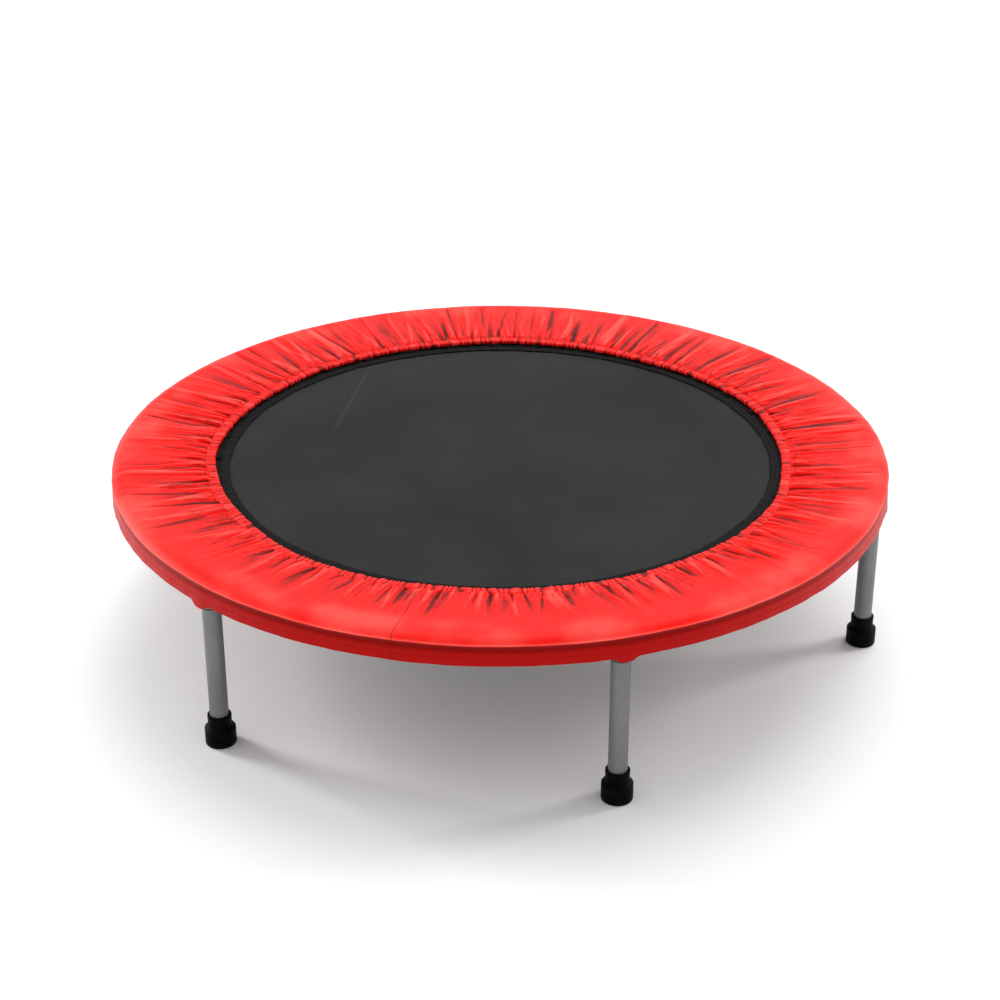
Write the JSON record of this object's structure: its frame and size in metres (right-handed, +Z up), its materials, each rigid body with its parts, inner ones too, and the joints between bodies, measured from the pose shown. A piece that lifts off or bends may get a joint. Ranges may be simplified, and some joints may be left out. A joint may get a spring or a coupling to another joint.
{
  "type": "mini trampoline",
  "caption": "Round fitness trampoline with a ring frame on screw-in legs, a sprung woven mat and a gathered red cloth cover over the springs.",
  "frame": {"origin": "on the floor, under the centre of the mat", "axes": "+Z up; one leg stands on the -Y side"},
  "size_m": [0.9649, 0.968, 0.2218],
  "materials": {
    "frame_paint": "satin grey powder coat",
    "leg_paint": "satin grey powder coat",
    "zinc_steel": "zinc plate",
    "spring_steel": "zinc plate",
    "washer_plastic": "matte black",
    "foot_rubber": "moulded black rubber",
    "mat_cloth": "woven dark grey",
    "webbing": "black webbing",
    "cover_cloth": "shiny woven polyester",
    "foam": "closed-cell foam",
    "elastic": "elastic cord"
  },
  "bodies": {
    "frame": {"ring_section_1": "frame_paint", "ring_section_2": "frame_paint", "ring_section_3": "frame_paint", "ring_section_4": "frame_paint", "ring_section_5": "frame_paint", "ring_section_6": "frame_paint", "leg_1_socket": "frame_paint", "leg_2_socket": "frame_paint", "leg_3_socket": "frame_paint", "leg_4_socket": "frame_paint", "leg_5_socket": "frame_paint", "leg_6_socket": "frame_paint", "springs": "spring_steel", "foam_pad": "foam", "cover_top": "cover_cloth", "cover_skirt": "cover_cloth", "elastic_casing": "cover_cloth", "elastic_cord": "elastic"},
    "mat": {"mat": "mat_cloth", "mat_edge_band": "webbing", "mat_loops": "webbing", "v_rings": "spring_steel"},
    "leg_1_seat": {"leg_1_washer": "washer_plastic"},
    "leg_1": {"leg_1_tube": "leg_paint", "leg_1_plug": "zinc_steel", "leg_1_stud": "zinc_steel", "leg_1_foot": "foot_rubber"},
    "leg_2_seat": {"leg_2_washer": "washer_plastic"},
    "leg_2": {"leg_2_tube": "leg_paint", "leg_2_plug": "zinc_steel", "leg_2_stud": "zinc_steel", "leg_2_foot": "foot_rubber"},
    "leg_3_seat": {"leg_3_washer": "washer_plastic"},
    "leg_3": {"leg_3_tube": "leg_paint", "leg_3_plug": "zinc_steel", "leg_3_stud": "zinc_steel", "leg_3_foot": "foot_rubber"},
    "leg_4_seat": {"leg_4_washer": "washer_plastic"},
    "leg_4": {"leg_4_tube": "leg_paint", "leg_4_plug": "zinc_steel", "leg_4_stud": "zinc_steel", "leg_4_foot": "foot_rubber"},
    "leg_5_seat": {"leg_5_washer": "washer_plastic"},
    "leg_5": {"leg_5_tube": "leg_paint", "leg_5_plug": "zinc_steel", "leg_5_stud": "zinc_steel", "leg_5_foot": "foot_rubber"},
    "leg_6_seat": {"leg_6_washer": "washer_plastic"},
    "leg_6": {"leg_6_tube": "leg_paint", "leg_6_plug": "zinc_steel", "leg_6_stud": "zinc_steel", "leg_6_foot": "foot_rubber"}
  },
  "joints": [
    {"name": "mat_bounce", "type": "slide", "parent": "frame", "child": "mat", "axis": [0, 0, 1], "range_m": [-0.06, 0], "stiffness_N_per_m": 12000, "deforming": ["springs"]},
    {"name": "leg_1_drop", "type": "slide", "parent": "frame", "child": "leg_1_seat", "axis": [0, 0, 1], "range_m": [-0.0225, 0]},
    {"name": "leg_1_screw", "type": "hinge", "parent": "leg_1_seat", "child": "leg_1", "pos_m": [0, -0.466, 0.1825], "axis": [0, 0, 1], "range_deg": [-5402, 0]},
    {"name": "leg_2_drop", "type": "slide", "parent": "frame", "child": "leg_2_seat", "axis": [0, 0, 1], "range_m": [-0.0225, 0]},
    {"name": "leg_2_screw", "type": "hinge", "parent": "leg_2_seat", "child": "leg_2", "pos_m": [0.40357, -0.233, 0.1825], "axis": [0, 0, 1], "range_deg": [-5402, 0]},
    {"name": "leg_3_drop", "type": "slide", "parent": "frame", "child": "leg_3_seat", "axis": [0, 0, 1], "range_m": [-0.0225, 0]},
    {"name": "leg_3_screw", "type": "hinge", "parent": "leg_3_seat", "child": "leg_3", "pos_m": [0.40357, 0.233, 0.1825], "axis": [0, 0, 1], "range_deg": [-5402, 0]},
    {"name": "leg_4_drop", "type": "slide", "parent": "frame", "child": "leg_4_seat", "axis": [0, 0, 1], "range_m": [-0.0225, 0]},
    {"name": "leg_4_screw", "type": "hinge", "parent": "leg_4_seat", "child": "leg_4", "pos_m": [0, 0.466, 0.1825], "axis": [0, 0, 1], "range_deg": [-5402, 0]},
    {"name": "leg_5_drop", "type": "slide", "parent": "frame", "child": "leg_5_seat", "axis": [0, 0, 1], "range_m": [-0.0225, 0]},
    {"name": "leg_5_screw", "type": "hinge", "parent": "leg_5_seat", "child": "leg_5", "pos_m": [-0.40357, 0.233, 0.1825], "axis": [0, 0, 1], "range_deg": [-5402, 0]},
    {"name": "leg_6_drop", "type": "slide", "parent": "frame", "child": "leg_6_seat", "axis": [0, 0, 1], "range_m": [-0.0225, 0]},
    {"name": "leg_6_screw", "type": "hinge", "parent": "leg_6_seat", "child": "leg_6", "pos_m": [-0.40357, -0.233, 0.1825], "axis": [0, 0, 1], "range_deg": [-5402, 0]}
  ],
  "couplings": [
    {"joint": "leg_1_screw", "follows": "leg_1_drop", "rad_per_m": 4188.8},
    {"joint": "leg_2_screw", "follows": "leg_2_drop", "rad_per_m": 4188.8},
    {"joint": "leg_3_screw", "follows": "leg_3_drop", "rad_per_m": 4188.8},
    {"joint": "leg_4_screw", "follows": "leg_4_drop", "rad_per_m": 4188.8},
    {"joint": "leg_5_screw", "follows": "leg_5_drop", "rad_per_m": 4188.8},
    {"joint": "leg_6_screw", "follows": "leg_6_drop", "rad_per_m": 4188.8}
  ]
}
